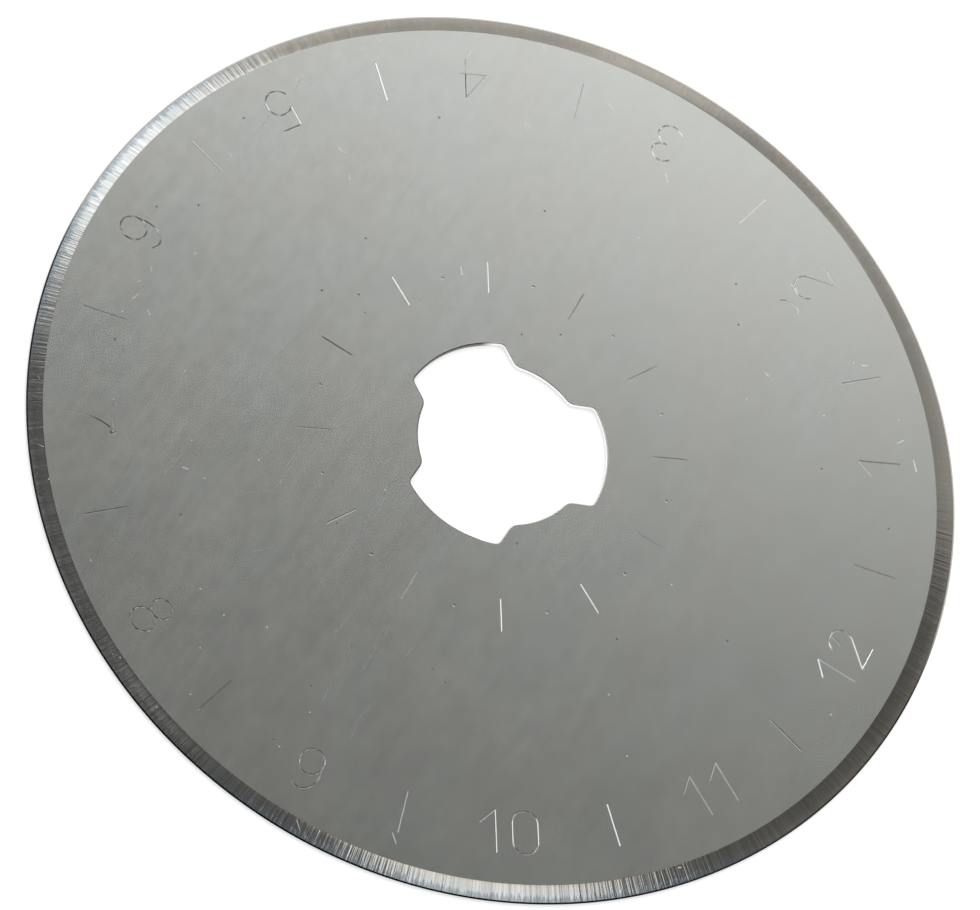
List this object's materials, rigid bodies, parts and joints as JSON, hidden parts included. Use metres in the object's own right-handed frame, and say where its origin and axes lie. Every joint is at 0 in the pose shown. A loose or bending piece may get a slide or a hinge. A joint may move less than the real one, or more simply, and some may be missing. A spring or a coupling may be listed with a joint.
{
  "type": "rotary blade",
  "caption": "Thin round steel cutting blade with a ground edge, a three-slotted hub hole and an engraved number dial.",
  "frame": {"origin": "middle of the blade's underside, on the axis that it turns about", "axes": "+Z is the blade's axis, up out of the engraved face, and +Y points through the middle of one hub tab"},
  "size_m": [0.045, 0.045, 0.0003],
  "materials": {
    "ground_steel": "satin rolled faces with fine grain and light scratches, a streaked ground edge and shallow engraved marks"
  },
  "bodies": {
    "root": {"rotary_blade": "ground_steel"}
  },
  "joints": []
}
